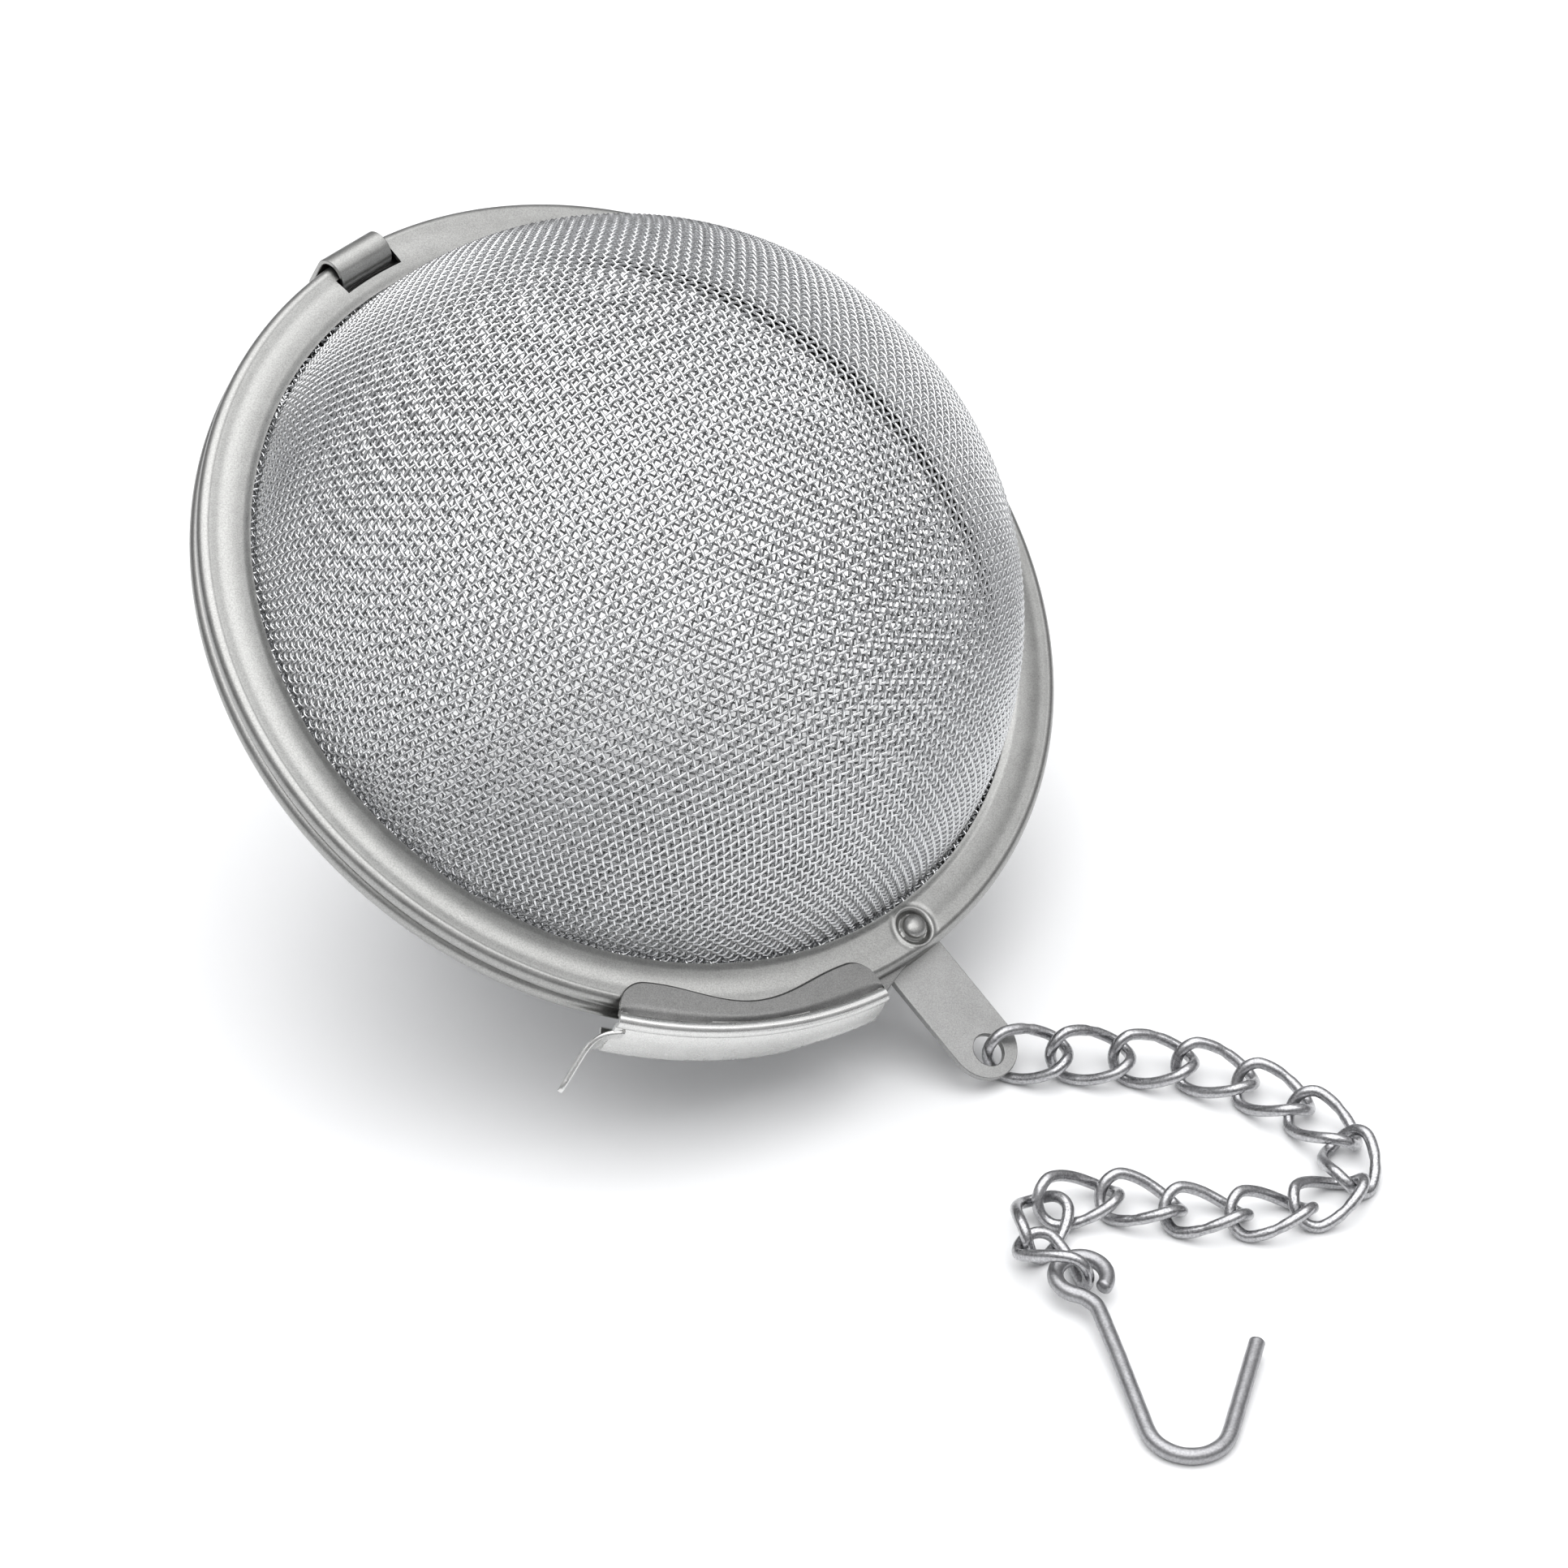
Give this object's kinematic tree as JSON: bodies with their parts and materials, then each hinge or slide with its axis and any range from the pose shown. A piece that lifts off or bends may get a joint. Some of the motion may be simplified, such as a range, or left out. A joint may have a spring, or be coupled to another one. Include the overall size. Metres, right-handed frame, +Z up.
{
  "type": "mesh ball tea infuser",
  "caption": "Hinged ball of woven wire mesh in rolled steel rims, with a swinging latch, a chain on a riveted tab and a cup hook.",
  "frame": {"origin": "centre of the bounding box's base, on the surface that the closed ball, its chain and its hook lie on", "axes": "+Z up from that surface; the tab and chain side of the ball points to +X and -Y, the hinge side to -X and +Y, and the hook lies towards -Y"},
  "size_m": [0.0818, 0.0898, 0.0529],
  "materials": {
    "stainless_sheet": "satin, finely speckled",
    "woven_wire": "drawn wire, woven",
    "chain_wire": "drawn wire, tumbled"
  },
  "bodies": {
    "base": {"lower_rim": "stainless_sheet", "lower_mesh_dome": "woven_wire", "hinge_strap": "stainless_sheet", "chain_tab": "stainless_sheet", "tab_rivet": "stainless_sheet"},
    "lid": {"upper_rim": "stainless_sheet", "upper_mesh_dome": "woven_wire", "latch_rivet": "stainless_sheet"},
    "latch": {"latch": "stainless_sheet"},
    "link_01": {"chain_link_01": "chain_wire"},
    "link_02": {"chain_link_02": "chain_wire"},
    "link_03": {"chain_link_03": "chain_wire"},
    "link_04": {"chain_link_04": "chain_wire"},
    "link_05": {"chain_link_05": "chain_wire"},
    "link_06": {"chain_link_06": "chain_wire"},
    "link_07": {"chain_link_07": "chain_wire"},
    "link_08": {"chain_link_08": "chain_wire"},
    "link_09": {"chain_link_09": "chain_wire"},
    "link_10": {"chain_link_10": "chain_wire"},
    "link_11": {"chain_link_11": "chain_wire"},
    "link_12": {"chain_link_12": "chain_wire"},
    "link_13": {"chain_link_13": "chain_wire"},
    "link_14": {"chain_link_14": "chain_wire"},
    "hook": {"cup_hook": "chain_wire"}
  },
  "joints": [
    {"name": "lid_hinge", "type": "hinge", "parent": "base", "child": "lid", "pos_m": [-0.03095, 0.03094, 0.04479], "axis": [-0.6559, -0.7516, -0.0693], "range_deg": [0, 120]},
    {"name": "latch_pivot", "type": "hinge", "parent": "lid", "child": "latch", "pos_m": [0.00864, -0.00222, 0.00961], "axis": [0.3824, -0.41, 0.8281], "range_deg": [-3.2, 60]},
    {"name": "link_01_swing", "type": "hinge", "parent": "base", "child": "link_01", "pos_m": [0.01491, -0.00631, 0.00195], "axis": [0, 0, 1], "range_deg": [-25, 20]},
    {"name": "link_02_swing", "type": "hinge", "parent": "link_01", "child": "link_02", "pos_m": [0.01936, -0.00631, 0.00195], "axis": [0, 0, -1], "range_deg": [-25, 25]},
    {"name": "link_03_swing", "type": "hinge", "parent": "link_02", "child": "link_03", "pos_m": [0.02381, -0.00638, 0.00172], "axis": [0, 0, 1], "range_deg": [-25, 25]},
    {"name": "link_04_swing", "type": "hinge", "parent": "link_03", "child": "link_04", "pos_m": [0.02822, -0.007, 0.00173], "axis": [0, 0, -1], "range_deg": [-25, 25]},
    {"name": "link_05_swing", "type": "hinge", "parent": "link_04", "child": "link_05", "pos_m": [0.03234, -0.00867, 0.00142], "axis": [0, 0, 1], "range_deg": [-25, 25]},
    {"name": "link_06_swing", "type": "hinge", "parent": "link_05", "child": "link_06", "pos_m": [0.0359, -0.01135, 0.00137], "axis": [0, 0, -1], "range_deg": [-25, 25]},
    {"name": "link_07_swing", "type": "hinge", "parent": "link_06", "child": "link_07", "pos_m": [0.03876, -0.01476, 0.00127], "axis": [0, 0, 1], "range_deg": [-21, 25]},
    {"name": "link_08_swing", "type": "hinge", "parent": "link_07", "child": "link_08", "pos_m": [0.03868, -0.01921, 0.00126], "axis": [0, 0, -1], "range_deg": [-25, 9]},
    {"name": "link_09_swing", "type": "hinge", "parent": "link_08", "child": "link_09", "pos_m": [0.03508, -0.02182, 0.00126], "axis": [0, 0, 1], "range_deg": [-25, 25]},
    {"name": "link_10_swing", "type": "hinge", "parent": "link_09", "child": "link_10", "pos_m": [0.03066, -0.02236, 0.00126], "axis": [0, 0, -1], "range_deg": [-25, 25]},
    {"name": "link_11_swing", "type": "hinge", "parent": "link_10", "child": "link_11", "pos_m": [0.02625, -0.02182, 0.00126], "axis": [0, 0, 1], "range_deg": [-25, 25]},
    {"name": "link_12_swing", "type": "hinge", "parent": "link_11", "child": "link_12", "pos_m": [0.02201, -0.02045, 0.00134], "axis": [0, 0, -1], "range_deg": [-25, 25]},
    {"name": "link_13_swing", "type": "hinge", "parent": "link_12", "child": "link_13", "pos_m": [0.01768, -0.02145, 0.00154], "axis": [0, 0, 1], "range_deg": [-25, 1]},
    {"name": "link_14_swing", "type": "hinge", "parent": "link_13", "child": "link_14", "pos_m": [0.01645, -0.02573, 0.00175], "axis": [0, 0, -1], "range_deg": [-1, 25]},
    {"name": "hook_swing", "type": "hinge", "parent": "link_14", "child": "hook", "pos_m": [0.0196, -0.02887, 0.0019], "axis": [0, 0, 1], "range_deg": [-25, 25]}
  ]
}
